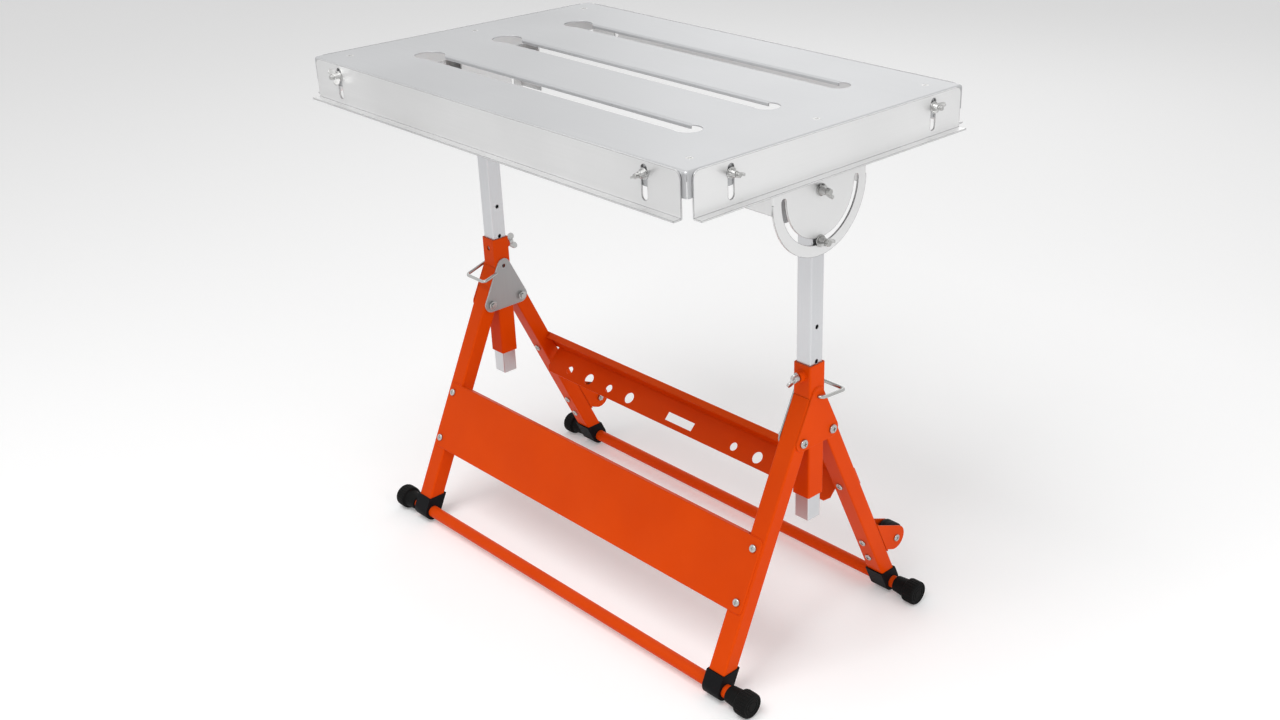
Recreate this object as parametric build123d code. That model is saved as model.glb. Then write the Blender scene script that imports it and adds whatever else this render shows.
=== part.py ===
"""Folding steel work stand with a tilting, height-adjustable slotted top.

Millimetres. +X runs along the top, -Y is the front (the side with the solid panel), +Z is up.
The origin is on the floor, under the centre of the top.
The two ends are the same parts turned half a turn about Z.
"""
from build123d import *
from math import atan2, cos, degrees, hypot, radians, sin
import os

# ---------------------------------------------------------------- driving dimensions
top_length = 762.0
top_width = 508.0
top_height = 780.0
sheet = 2.0                 # folded sheet of the top, crossbars, gussets, panel, tray
sheet_bend = 1.8            # outside radius of small bends, less than the sheet
skirt_depth = 32.0
skirt_bend = 4.0            # outside bend radius of the skirt

slot_width = 28.0           # clamp slots
slot_pitch = 137.0
slot_lip_depth = 6.0
slot_lip_bend = 3.4         # outside bend radius of the slot's edges
keyhole_inset = 114.0       # keyhole centre from the left end
keyhole_radius = 22.0
slot_end_inset = 119.0      # lobe centre from the right end
slot_end_radius = 18.0
corner_seam = 0.8           # open seam where two skirts meet

rail_height = 57.0
rail_end_gap = 8.0          # rail stops short of the corner
rail_flange = 12.0
rail_corner = 10.0
rail_drop = 0.5             # rail's top edge below the work surface
rail_gap = 0.3              # rail to skirt, and nut to rail
rail_bolt_inset_x = 67.0    # from the end of the top, on the long rails
rail_bolt_inset_y = 67.0
rail_bolt_drop = 16.0       # below the work surface
rail_slot_width = 10.0
rail_slot_above = 11.0      # slot end above the bolt
rail_slot_below = 32.0
rail_bolt_radius = 3.0

screw_outboard = 6.5        # top screws, outside the post's centre
screw_inset_y = 38.0
screw_head_radius = 5.0
screw_radius = 2.5

crossbar_inset_y = 18.0
crossbar_inboard = 35.0     # inner wall from the post's centre
crossbar_depth = 22.0

post_inset = 41.0           # post centre from the end of the top
post_size = 25.0
post_fit = 0.5              # post to socket, each side
post_wall = 1.5
post_corner = 2.0
post_bottom = 212.0
post_above_pivot = 20.0
hole_pitch = 50.0           # height holes in the post
holes_above_pin = 2
holes_below_pin = 3
post_hole_radius = 3.3

socket_wall = 2.0
socket_corner = 2.5
socket_bottom = 249.0
socket_top = 449.0
pin_z = 402.5               # height lock pin
clamp_z = 432.5             # clamp screw

tilt_drop = 89.0            # pivot below the work surface
tilt_plate = 2.5
tilt_gap = 0.4              # tilt plates to post
tilt_half_width = 88.0
tilt_slot_radius = 68.0
tilt_slot_width = 9.0
tilt_wing_below = 13.0      # side wing's lower edge below the pivot
inner_plate_half_width = 45.0
inner_plate_below = 42.5
inner_plate_corner = 12.0
tilt_bolt_radius = 4.0

folded_gap = 2.0            # folded leg to socket
pivot_z = 342.5             # leg hinge bolts
gusset_edge = 0.1           # gusset's rim inside the leg's outer face
hinge_bolt_radius = 4.0
leg_gap = 0.2               # leg to gusset, each side
leg_depth = 25.0
leg_wall = 1.5
leg_corner = 2.5
stop_gap = 0.3              # cut leg top to socket face

foot_y = 180.7              # foot tube centre
tube_radius = 9.5
tube_wall = 1.5
cap_end_reach = 66.0        # cap's end from the leg's centre
cap_length = 42.0
cap_step_length = 20.0      # thick end
cap_neck_wall = 3.0
cap_radius = 18.5
cap_end_wall = 6.0
connector_wall = 2.5
connector_side_wall = 1.0   # outside the gussets
connector_top = 43.0

panel_top = 141.0           # along the leg, from the hinge
panel_bottom = 250.0
panel_end_inset = 3.0       # panel's end to the outside of the leg
panel_corner = 7.0
panel_flange = 12.0
panel_screw_inset = 15.5

tray_top = 102.0            # along the leg, from the hinge
tray_back = 35.0
tray_flange = 12.0
tray_shelf = 46.0
tray_shelf_slope = 45.0     # below the horizontal, towards the front
tray_shelf_gap = 6.0        # shelf's end to the leg
tray_hole_offset = 30.0     # from the shelf's bend
tray_hole_first = 119.0     # first round hole from the middle
tray_hole_pitch = 50.0
tray_hole_margin = 20.0     # last hole's centre to the shelf's end, at least
tray_small_radius = 7.0
tray_large_radius = 9.5
tray_slot_length = 60.0
tray_slot_width = 14.0
tray_bolt_along = 121.0

axle_along = 291.0
axle_behind = 24.0          # axle behind the leg's rear face
bracket_radius = 19.0
bracket_top = 234.0         # where the side plates leave the leg
bracket_bottom = 292.0
bracket_base_end = 297.0
bracket_screw_top = 254.0
bracket_screw_pitch = 36.0
wheel_radius = 21.0
wheel_width = 22.0
axle_radius = 3.0

running = 0.05              # radial clearance of every turning or sliding fit
m6_head_radius = 5.6
m6_head_height = 3.3
m8_head_radius = 6.6
m8_head_height = 4.2
nut_height = 5.0
screw_nut_height = 4.0
wire_radius = 2.5           # lock pin wire
bail_reach = 47.0
bail_side_gap = 6.5         # bail to gusset
bail_return = 26.0
bail_bend = 6.0
right_bail_angle = 5.0      # below the horizontal
left_bail_angle = 17.0
boss_radius = 7.5
boss_height = 8.0

# ---------------------------------------------------------------- derived places
half_l = top_length / 2
half_w = top_width / 2
post_x = half_l - post_inset
keyhole_x = keyhole_inset - half_l
slot_end_x = half_l - slot_end_inset
screw_x = post_x + screw_outboard
crossbar_inner_x = post_x - crossbar_inboard
crossbar_half_length = half_w - crossbar_inset_y
socket_size = post_size + 2 * (post_fit + socket_wall)
pivot_y = (socket_size + leg_depth) / 2 + folded_gap
gusset_radius = leg_depth / 2 - gusset_edge
cap_end_x = post_x + cap_end_reach
cap_neck_start = cap_end_x - cap_length
cap_step = cap_end_x - cap_step_length
cap_neck_radius = tube_radius + cap_neck_wall
tray_shelf_half = post_x - socket_size / 2 - tray_shelf_gap
pivot_height = top_height - tilt_drop
tube_z = cap_radius
leg_run = hypot(foot_y - pivot_y, pivot_z - tube_z)
leg_angle = degrees(atan2(foot_y - pivot_y, pivot_z - tube_z))
leg_width = socket_size - 2 * leg_gap
leg_bottom = leg_run - tube_radius - 2.0
half_socket = socket_size / 2
half_post = post_size / 2
half_leg = leg_depth / 2
gusset_outer_x = post_x + half_socket
tilt_plate_x = post_x + half_post + tilt_gap
inner_plate_x = post_x - half_post - tilt_gap - tilt_plate
slot_rows = (-slot_pitch, 0.0, slot_pitch)


# ---------------------------------------------------------------- general helpers
def turned(shape):
    """The same part at the other end: half a turn about Z."""
    return Rot(0, 0, 180) * shape


def at_front(shape):
    """A rear part mirrored to the front of the stand."""
    return mirror(shape, about=Plane.XZ)


def on_rear_leg(shape):
    """From the leg's own frame (origin on the hinge, +Y out, +Z up the leg) to the stand."""
    return Pos(0, pivot_y, pivot_z) * Rot(leg_angle, 0, 0) * shape


def rod_x(radius, x0, x1, y=0.0, z=0.0):
    """A round bar along X from x0 to x1."""
    return Pos((x0 + x1) / 2, y, z) * Rot(0, 90, 0) * Cylinder(radius, abs(x1 - x0))


def rod_y(radius, y0, y1, x=0.0, z=0.0):
    """A round bar along Y from y0 to y1."""
    return Pos(x, (y0 + y1) / 2, z) * Rot(90, 0, 0) * Cylinder(radius, abs(y1 - y0))


def rod_z(radius, z0, z1, x=0.0, y=0.0):
    """A round bar along Z from z0 to z1."""
    return Pos(x, y, (z0 + z1) / 2) * Cylinder(radius, abs(z1 - z0))


def block(x0, x1, y0, y1, z0, z1):
    """A box given by its faces."""
    centre = Pos((x0 + x1) / 2, (y0 + y1) / 2, (z0 + z1) / 2)
    return centre * Box(abs(x1 - x0), abs(y1 - y0), abs(z1 - z0))


def plate_x(outline, x0, x1):
    """A sketch drawn in (Y, Z) made into a plate from x0 to x1."""
    return Pos(x0, 0, 0) * extrude(Plane.YZ * outline, amount=x1 - x0, dir=(1, 0, 0))


def square_tube(size, wall, corner, z0, z1):
    """An upright square tube round the Z axis, open at both ends."""
    outer = RectangleRounded(size, size, corner)
    inner = RectangleRounded(size - 2 * wall, size - 2 * wall, max(corner - wall, 0.5))
    return Pos(0, 0, z0) * extrude(outer - inner, amount=z1 - z0)


def hex_nut(radius, across, height):
    """A nut standing on the XY plane, with its hole clear of the bolt."""
    body = extrude(RegularPolygon(across / 2, 6, major_radius=False), amount=height)
    body = chamfer(body.edges().group_by(Axis.Z)[-1], 0.6)
    return body - Pos(0, 0, height / 2) * Cylinder(radius + running, height + 2)


def pan_head(radius, height):
    """A low domed screw head on the XY plane, with a cross recess."""
    head = Pos(0, 0, height / 2) * Cylinder(radius, height)
    head = fillet(head.edges().group_by(Axis.Z)[-1], height * 0.55)
    recess_depth = height * 0.45
    bar = Box(radius * 1.1, radius * 0.26, recess_depth)
    cross = bar + Rot(0, 0, 90) * bar
    return head - Pos(0, 0, height - recess_depth / 2 + 0.01) * cross


def wings(span, height, thickness, hub_radius):
    """The pair of ears of a wing nut or wing screw, rising from the XY plane."""
    tip = height * 0.36
    with_tip = Pos(span / 2 - tip, height - tip) * Circle(tip)
    root = Polygon((0, 1.0), (hub_radius + 2.0, 1.0), (span / 2 - 0.4, height - 1.5 * tip),
                   (span / 2 - 2 * tip, height - 0.7 * tip), (0, hub_radius + 1.0), align=None)
    ear = extrude(Plane.XZ * (with_tip + root), amount=thickness / 2, both=True)
    return ear + mirror(ear, about=Plane.YZ)


def wing_nut(radius, span=27.0, height=13.0, hub_radius=5.6, hub_height=8.0):
    """A wing nut on the XY plane, turned on a bolt of the given radius."""
    body = Cone(hub_radius, hub_radius * 0.8, hub_height, align=(Align.CENTER, Align.CENTER, Align.MIN))
    body = body + wings(span, height, 3.0, hub_radius)
    return body - Pos(0, 0, height / 2) * Cylinder(radius + running, height + 4)


def facing(shape, axis, origin):
    """Stand a part drawn along +Z on the given axis at the given point."""
    turns = {"+X": Rot(0, 90, 0), "-X": Rot(0, -90, 0), "+Y": Rot(-90, 0, 0), "-Y": Rot(90, 0, 0)}
    return Pos(*origin) * turns[axis] * shape


# ---------------------------------------------------------------- sockets and gussets
def socket():
    """Right-hand socket: guides the post, carries the gussets and the clamp boss."""
    body = Pos(post_x, 0, 0) * square_tube(socket_size, socket_wall, socket_corner, socket_bottom, socket_top)
    body = body - rod_x(wire_radius + running, post_x, post_x + socket_size, 0, pin_z)
    body = body - rod_x(post_hole_radius, post_x - socket_size, post_x, 0, pin_z)
    body = body - rod_y(tilt_bolt_radius + running, -socket_size, 0, post_x, clamp_z)
    return body - rod_y(tilt_bolt_radius, 0, socket_size, post_x, clamp_z)


def gusset(x0, x1, pin_radius):
    """Rounded triangle that ties the socket to the two leg hinges."""
    outline = offset(Polygon((0, pin_z), (-pivot_y, pivot_z), (pivot_y, pivot_z), align=None), gusset_radius)
    body = plate_x(outline, x0, x1)
    reach = (x0 - 1, x1 + 1)
    body = body - rod_x(pin_radius, *reach, 0, pin_z)
    for y in (-pivot_y, pivot_y):
        body = body - rod_x(hinge_bolt_radius + running, *reach, y, pivot_z)
    return body


def clamp_boss():
    """Welded nut that takes the clamp screw."""
    body = rod_y(boss_radius, -half_socket - boss_height, -half_socket, post_x, clamp_z)
    body = fillet(body.edges().filter_by(GeomType.CIRCLE).group_by(Axis.Y)[0], 1.0)
    return body - rod_y(tilt_bolt_radius + running, -half_socket - 20, 0, post_x, clamp_z)


def hinge_bolt(y):
    """Leg hinge bolt: head outside the outer gusset."""
    head = facing(pan_head(m8_head_radius, m8_head_height), "+X", (gusset_outer_x + sheet, y, pivot_z))
    end = post_x - half_socket - sheet - nut_height - 2.5
    return head + rod_x(hinge_bolt_radius, end, gusset_outer_x + sheet + 0.5, y, pivot_z)


def hinge_nut(y):
    """Nut inside the inner gusset."""
    seat = post_x - half_socket - sheet
    return facing(hex_nut(hinge_bolt_radius, 13.0, nut_height), "-X", (seat, y, pivot_z))


def clamp_screw():
    """Wing screw whose tip stops just short of the post."""
    seat = -half_socket - boss_height - 1.5
    shank = rod_y(tilt_bolt_radius, seat - 6.0, -half_post - leg_gap, post_x, clamp_z)
    ears = Cylinder(5.5, 7.0, align=(Align.CENTER, Align.CENTER, Align.MIN)) + wings(26.0, 14.0, 3.4, 5.5)
    return shank + facing(Rot(0, 0, 62) * ears, "-Y", (post_x, seat, clamp_z))


def lock_pin(angle):
    """Wire pin through the outer gusset, with its bail swung round behind the socket."""
    near = gusset_outer_x + sheet + bail_side_gap
    far = post_x - half_socket - sheet - bail_side_gap
    start = post_x + half_post + tilt_gap
    path = FilletPolyline((start, 0, 0), (near, 0, 0), (near, bail_reach, 0), (far, bail_reach, 0),
                          (far, bail_reach - bail_return, 0), radius=bail_bend)
    wire = sweep(Plane(origin=(start, 0, 0), z_dir=(1, 0, 0)) * Circle(wire_radius), path=path)
    return Pos(0, 0, pin_z) * Rot(-angle, 0, 0) * wire


# ---------------------------------------------------------------- legs
def leg():
    """Right rear leg, cut upright at its top so that it stops against the socket."""
    outer = RectangleRounded(leg_width, leg_depth, leg_corner)
    inner = RectangleRounded(leg_width - 2 * leg_wall, leg_depth - 2 * leg_wall, leg_corner - leg_wall)
    above = 90.0
    tube = Pos(post_x, 0, -leg_bottom) * extrude(outer - inner, amount=leg_bottom + above)
    tube = tube - rod_x(hinge_bolt_radius + running, 0, 2 * post_x, 0, 0)
    placed = on_rear_leg(tube)
    face = half_socket + stop_gap
    return placed - block(0, 2 * post_x, -200, face, pivot_z - 60, pivot_z + 200)


def front_leg():
    """Rear leg drilled for the panel screws, then mirrored."""
    body = leg()
    for along in panel_screws_along():
        body = body - on_rear_leg(rod_y(3.0 + running, 0, leg_depth, post_x, -along))
    return at_front(body)


def rear_leg():
    """Leg drilled for the tray bolt and the wheel bracket screws."""
    body = leg()
    for along in (tray_bolt_along, *bracket_screws_along()):
        body = body - on_rear_leg(rod_y(3.0 + running, -leg_depth, leg_depth, post_x, -along))
    return body


def panel_screws_along():
    return (panel_top + panel_screw_inset, panel_bottom - panel_screw_inset)


def bracket_screws_along():
    return (bracket_screw_top, bracket_screw_top + bracket_screw_pitch)


def foot_tube():
    """Steel tube that joins the two connectors."""
    end = cap_end_x - cap_end_wall
    tube = rod_x(tube_radius, -end, end, foot_y, tube_z)
    return tube - rod_x(tube_radius - tube_wall, -end - 1, end + 1, foot_y, tube_z)


def foot_cap():
    """Rubber cap with a thin neck and a thick end that stands on the floor."""
    neck = rod_x(cap_neck_radius, cap_neck_start, cap_step + 2, foot_y, tube_z)
    head = rod_x(cap_radius, cap_step, cap_end_x, foot_y, tube_z)
    head = fillet(head.edges().filter_by(GeomType.CIRCLE), 2.5)
    neck = fillet(neck.edges().filter_by(GeomType.CIRCLE).group_by(Axis.X)[0], 1.5)
    bore = rod_x(tube_radius + running, cap_neck_start - 1, cap_end_x - cap_end_wall, foot_y, tube_z)
    return neck + head - bore


def connector():
    """Plastic saddle: a sleeve for the leg's end, and a barrel round the foot tube."""
    out = half_leg + connector_wall
    half_x = half_socket + connector_side_wall
    sleeve = on_rear_leg(block(post_x - half_x, post_x + half_x, -out, out, -leg_run, -leg_run + 60))
    sleeve = sleeve & block(0, 2 * post_x, 0, 2 * foot_y, 0, connector_top)
    body = sleeve + rod_x(out, post_x - half_x, post_x + half_x, foot_y, tube_z)
    pocket = on_rear_leg(Pos(post_x, 0, -leg_bottom + 100) * Box(leg_width + 0.1, leg_depth + 0.1, 200))
    bore = rod_x(tube_radius + running, 0, 2 * post_x, foot_y, tube_z)
    return body - pocket - bore


# ---------------------------------------------------------------- front panel
def front_panel():
    """Panel screwed on the front of the legs, with edges turned back between them."""
    length = 2 * (post_x + half_socket - panel_end_inset)
    height = panel_bottom - panel_top
    face = extrude(Plane.XZ * RectangleRounded(length, height, panel_corner), amount=-sheet)
    face = Pos(0, half_leg, -(panel_top + panel_bottom) / 2) * face
    reach = post_x - half_socket - 3.0
    body = face
    back = half_leg + sheet - panel_flange
    for edge, side in ((-panel_top, -1), (-panel_bottom, 1)):
        body = body + block(-reach, reach, back, half_leg + 1, edge, edge + side * sheet)
    body = fillet(outer_long_edges(body), sheet_bend)
    for x in (-post_x, post_x):
        for along in panel_screws_along():
            body = body - rod_y(3.0 + running, 0, 2 * leg_depth, x, -along)
    return at_front(on_rear_leg(body))


def outer_long_edges(body):
    """Edges along X on the outer face of a sheet piece drawn in the leg's frame."""
    return [e for e in body.edges().filter_by(Axis.X) if abs(e.center().Y - half_leg - sheet) < 0.01]


def panel_screw_set():
    """Screws through the panel into nuts held inside the legs."""
    solids = []
    seat = half_leg + sheet
    for x in (-post_x, post_x):
        for along in panel_screws_along():
            head = facing(pan_head(m6_head_radius, m6_head_height), "+Y", (x, seat, -along))
            screw = head + rod_y(3.0, half_leg - 9.0, seat + 0.5, x, -along)
            nut = facing(hex_nut(3.0, 10.0, nut_height), "-Y", (x, half_leg - leg_wall, -along))
            solids += [screw, nut]
    return [at_front(on_rear_leg(s)) for s in solids]


# ---------------------------------------------------------------- rear tray
def tray_shelf_plane():
    """Plane of the shelf in the leg's frame: X along the stand, Y down the slope from the bend."""
    local = radians(180.0 + tray_shelf_slope - leg_angle)
    down = Vector(0, cos(local), sin(local))
    bend = (0, half_leg + sheet, -(tray_top + tray_back))
    return Plane(origin=bend, x_dir=(1, 0, 0), z_dir=Vector(1, 0, 0).cross(down))


def rear_tray():
    """Back strip on the legs, a top flange, and a sloping shelf with tool holes."""
    back_half = post_x + half_socket - panel_end_inset
    back = block(-back_half, back_half, half_leg, half_leg + sheet, -tray_top, -tray_top - tray_back)
    reach = post_x - half_socket - 3.0
    flange = block(-reach, reach, half_leg + sheet - tray_flange, half_leg + 1, -tray_top, -tray_top - sheet)
    outline = Pos(0, tray_shelf / 2) * Rectangle(2 * tray_shelf_half, tray_shelf)
    outline = chamfer(outline.vertices().group_by(Axis.Y)[-1], 8.0)
    outline = outline - Pos(0, tray_hole_offset) * Rectangle(tray_slot_length, tray_slot_width)
    room = tray_shelf_half - tray_hole_margin - tray_hole_first
    for index in range(int(room / tray_hole_pitch) + 1):
        step = tray_hole_first + index * tray_hole_pitch
        right = tray_small_radius if index % 2 == 0 else tray_large_radius
        left = tray_large_radius if index % 2 == 0 else tray_small_radius
        outline = outline - Pos(step, tray_hole_offset) * Circle(right)
        outline = outline - Pos(-step, tray_hole_offset) * Circle(left)
    shelf = extrude(tray_shelf_plane() * outline, amount=-sheet)
    strip = back + flange
    body = fillet([e for e in outer_long_edges(strip) if abs(e.center().Z + tray_top) < 0.1], sheet_bend)
    body = body + shelf
    for x in (-post_x, post_x):
        body = body - rod_y(3.0 + running, 0, 2 * leg_depth, x, -tray_bolt_along)
    return on_rear_leg(body)


def tray_bolt_set():
    """Bolts through the rear legs, heads on the inner side."""
    solids = []
    for x in (-post_x, post_x):
        head = facing(pan_head(m6_head_radius, m6_head_height), "-Y", (x, -half_leg, -tray_bolt_along))
        bolt = head + rod_y(3.0, -half_leg - 0.5, half_leg + sheet + nut_height + 1.5, x, -tray_bolt_along)
        nut = facing(hex_nut(3.0, 10.0, nut_height), "+Y", (x, half_leg + sheet, -tray_bolt_along))
        solids += [bolt, nut]
    return [on_rear_leg(s) for s in solids]


# ---------------------------------------------------------------- wheels
def axle_place():
    return (half_leg + axle_behind, -axle_along)


def wheel_bracket():
    """Folded bracket: base on the leg's rear face and two side plates that hold the axle."""
    y, z = axle_place()
    side = asin_ratio(2 * bracket_radius, bracket_bottom - bracket_top)
    direction = Vector(sin(side), -cos(side))
    across = Vector(cos(side), sin(side))
    upper = Vector(y, z) + across * bracket_radius
    lower = Vector(y, z) - across * bracket_radius
    face = half_leg
    upper_root = upper - direction * ((upper.X - face) / direction.X)
    lower_root = lower - direction * ((lower.X - face) / direction.X)
    outline = Polygon((upper_root.X, upper_root.Y), (upper.X, upper.Y), (lower.X, lower.Y),
                      (lower_root.X, lower_root.Y), align=None)
    outline = outline + Pos(y, z) * Circle(bracket_radius)
    half = half_socket
    plates = plate_x(outline, post_x - half, post_x - half + sheet)
    plates = plates + plate_x(outline, post_x + half - sheet, post_x + half)
    body = plates + block(post_x - half, post_x + half, face, face + sheet, upper_root.Y, -bracket_base_end)
    body = body - rod_x(axle_radius + running, 0, 2 * post_x, y, z)
    for along in bracket_screws_along():
        body = body - rod_y(3.0 + running, 0, face + 2 * sheet, post_x, -along)
    return on_rear_leg(body)


def asin_ratio(opposite, hypotenuse):
    """Angle whose sine is the given ratio, in radians."""
    return atan2(opposite, (hypotenuse ** 2 - opposite ** 2) ** 0.5)


def bracket_screw_set():
    """Screws from the leg's inner side into the tapped base of each bracket."""
    solids = []
    for x in (-post_x, post_x):
        for along in bracket_screws_along():
            head = facing(pan_head(m6_head_radius, m6_head_height), "-Y", (x, -half_leg, -along))
            solids.append(head + rod_y(3.0, -half_leg - 0.5, half_leg + sheet, x, -along))
    return [on_rear_leg(s) for s in solids]


def axle_bolt():
    """Axle of the right wheel, head outside, nut inside."""
    y, z = axle_place()
    out = post_x + half_socket
    inside = post_x - half_socket
    head = facing(pan_head(m6_head_radius, m6_head_height), "+X", (out, y, z))
    bolt = head + rod_x(axle_radius, inside - nut_height - 1.5, out + 0.5, y, z)
    nut = facing(hex_nut(axle_radius, 10.0, nut_height), "-X", (inside, y, z))
    return [on_rear_leg(bolt), on_rear_leg(nut)]


def wheel():
    """Small moulded wheel with a hub that spaces it between the plates."""
    y, z = axle_place()
    half = wheel_width / 2
    body = rod_x(wheel_radius, post_x - half, post_x + half, y, z)
    body = fillet(body.edges().filter_by(GeomType.CIRCLE), 2.5)
    hub_half = half_socket - sheet - rail_gap
    for side in (-1, 1):
        dish = rod_x(wheel_radius - 5.0, post_x + side * (half - 2.5), post_x + side * (half + 1), y, z)
        body = body - dish
    body = body + rod_x(7.5, post_x - hub_half, post_x + hub_half, y, z)
    return on_rear_leg(body - rod_x(axle_radius + running, 0, 2 * post_x, y, z))


# ---------------------------------------------------------------- posts
def post():
    """Square post with height holes, a pivot hole and a tilt lock hole."""
    top = pivot_height + post_above_pivot
    body = Pos(post_x, 0, 0) * square_tube(post_size, post_wall, post_corner, post_bottom, top)
    span = (post_x - post_size, post_x + post_size)
    for step in range(-holes_below_pin, holes_above_pin + 1):
        body = body - rod_x(post_hole_radius, *span, 0, pin_z + step * hole_pitch)
    for z in (pivot_height, pivot_height - tilt_slot_radius):
        body = body - rod_x(tilt_bolt_radius + running, *span, 0, z)
    return body


def tilt_bolt(inside_x, z):
    """Bolt from inside the post out through the tilt plate."""
    head = facing(pan_head(m8_head_radius, m8_head_height), "-X", (inside_x, 0, z))
    return head + rod_x(tilt_bolt_radius, inside_x - 0.5, tilt_plate_x + tilt_plate + 16.0, 0, z)


def pivot_bolt():
    return tilt_bolt(inner_plate_x - rail_gap, pivot_height)


def lock_bolt():
    return tilt_bolt(post_x - half_post, pivot_height - tilt_slot_radius)


def tilt_washer(z):
    """Washer between the wing nut and the tilt plate."""
    x0 = tilt_plate_x + tilt_plate + rail_gap
    return rod_x(8.2, x0, x0 + 1.5, 0, z) - rod_x(tilt_bolt_radius + running, x0 - 1, x0 + 3, 0, z)


def tilt_wing_nut(z, turn):
    """Wing nut on the outer end of a tilt bolt."""
    x0 = tilt_plate_x + tilt_plate + rail_gap + 1.5 + running
    return facing(Rot(0, 0, turn) * wing_nut(tilt_bolt_radius, 30.0, 13.0, 6.5), "+X", (x0, 0, z))


# ---------------------------------------------------------------- tilting top
def slot_cutter(y):
    """Keyhole, straight run and end lobe of one clamp slot."""
    outline = Pos((keyhole_x + slot_end_x) / 2, y) * Rectangle(slot_end_x - keyhole_x, slot_width)
    outline = outline + Pos(keyhole_x, y) * Circle(keyhole_radius)
    return outline + Pos(slot_end_x, y) * Circle(slot_end_radius)


def lip_span():
    """X range of the turned-down slot edges, from inside the keyhole to inside the lobe."""
    lobe = (slot_end_radius ** 2 - (slot_width / 2) ** 2) ** 0.5
    return keyhole_x + 1.0, slot_end_x - lobe + 1.0


def table_top():
    """Folded tray: flat top, four skirts, three clamp slots with turned-down edges."""
    body = block(-half_l, half_l, -half_w, half_w, top_height - skirt_depth, top_height)
    body = fillet(body.edges().filter_by(Axis.Z), skirt_bend)
    body = fillet(body.edges().group_by(Axis.Z)[-1], skirt_bend - 0.2)
    hollow = block(-half_l + sheet, half_l - sheet, -half_w + sheet, half_w - sheet,
                   top_height - skirt_depth - 1, top_height - sheet)
    hollow = fillet(hollow.edges().filter_by(Axis.Z), skirt_bend - sheet)
    hollow = fillet(hollow.edges().group_by(Axis.Z)[-1], skirt_bend - sheet - 0.2)
    body = body - hollow
    x0, x1 = lip_span()
    for y in slot_rows:
        outer = slot_width / 2 + sheet
        body = body + block(x0, x1, y - outer, y + outer, top_height - slot_lip_depth, top_height - sheet / 2)
        cutter = extrude(slot_cutter(y), amount=3 * slot_lip_depth)
        body = body - Pos(0, 0, top_height - 2 * slot_lip_depth) * cutter
    bend_edges = []
    for edge in body.edges().filter_by(Axis.X):
        middle = edge.center()
        on_surface = abs(middle.Z - top_height) < 0.01
        if on_surface and abs(abs(middle.Y) - half_w) > 10 and edge.length > (x1 - x0) / 2:
            bend_edges.append(edge)
    body = fillet(bend_edges, slot_lip_bend)
    seam_z = top_height - skirt_depth / 2 - sheet
    for side_x in (-1, 1):
        for side_y in (-1, 1):
            seam = Rot(0, 0, side_x * side_y * 45) * Box(4 * skirt_bend, corner_seam, skirt_depth - 2 * sheet)
            body = body - Pos(side_x * (half_l - sheet), side_y * (half_w - sheet), seam_z) * seam
    for x, y in screw_places():
        body = body - Pos(x, y, top_height) * screw_cone(running)
        body = body - rod_z(screw_radius + running, top_height - 10, top_height + 1, x, y)
    z = top_height - rail_bolt_drop
    for x, y, axis in rail_bolt_places():
        if axis == "X":
            body = body - rod_x(rail_bolt_radius + running, x - 9, x + 9, y, z)
        else:
            body = body - rod_y(rail_bolt_radius + running, y - 9, y + 9, x, z)
    return body


def screw_places():
    y = half_w - screw_inset_y
    return [(sx * screw_x, sy * y) for sx in (-1, 1) for sy in (-1, 0, 1)]


def screw_cone(extra):
    """Countersink, its wide end at the XY plane."""
    depth = sheet - 0.4
    small = screw_radius + extra
    return Pos(0, 0, -depth) * Cone(small, screw_head_radius + extra, depth,
                                    align=(Align.CENTER, Align.CENTER, Align.MIN))


def top_screw_set():
    """Countersunk screws and their nuts under the crossbars."""
    solids = []
    under = top_height - 2 * sheet
    for x, y in screw_places():
        screw = Pos(x, y, top_height) * screw_cone(0.0)
        screw = screw + rod_z(screw_radius, under - screw_nut_height - 2, top_height - 1, x, y)
        screw = screw - Pos(x, y, top_height) * (Box(6.0, 1.2, 1.2) + Box(1.2, 6.0, 1.2))
        nut = Rot(0, 0, 30) * hex_nut(screw_radius, 8.0, screw_nut_height)
        nut = Pos(x, y, under - screw_nut_height) * nut
        solids += [screw, nut]
    return solids


def crossbar():
    """Channel across the right end of the top, open downwards."""
    x0 = crossbar_inner_x
    x1 = tilt_plate_x
    z1 = top_height - sheet
    body = block(x0, x1, -crossbar_half_length, crossbar_half_length, z1 - crossbar_depth, z1)
    body = body - block(x0 + sheet, x1 - sheet, -crossbar_half_length - 1, crossbar_half_length + 1,
                        z1 - crossbar_depth - 1, z1 - sheet)
    for x, y in screw_places():
        if x > 0:
            body = body - rod_z(screw_radius + running, z1 - 5, z1 + 1, x, y)
    return body


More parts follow.
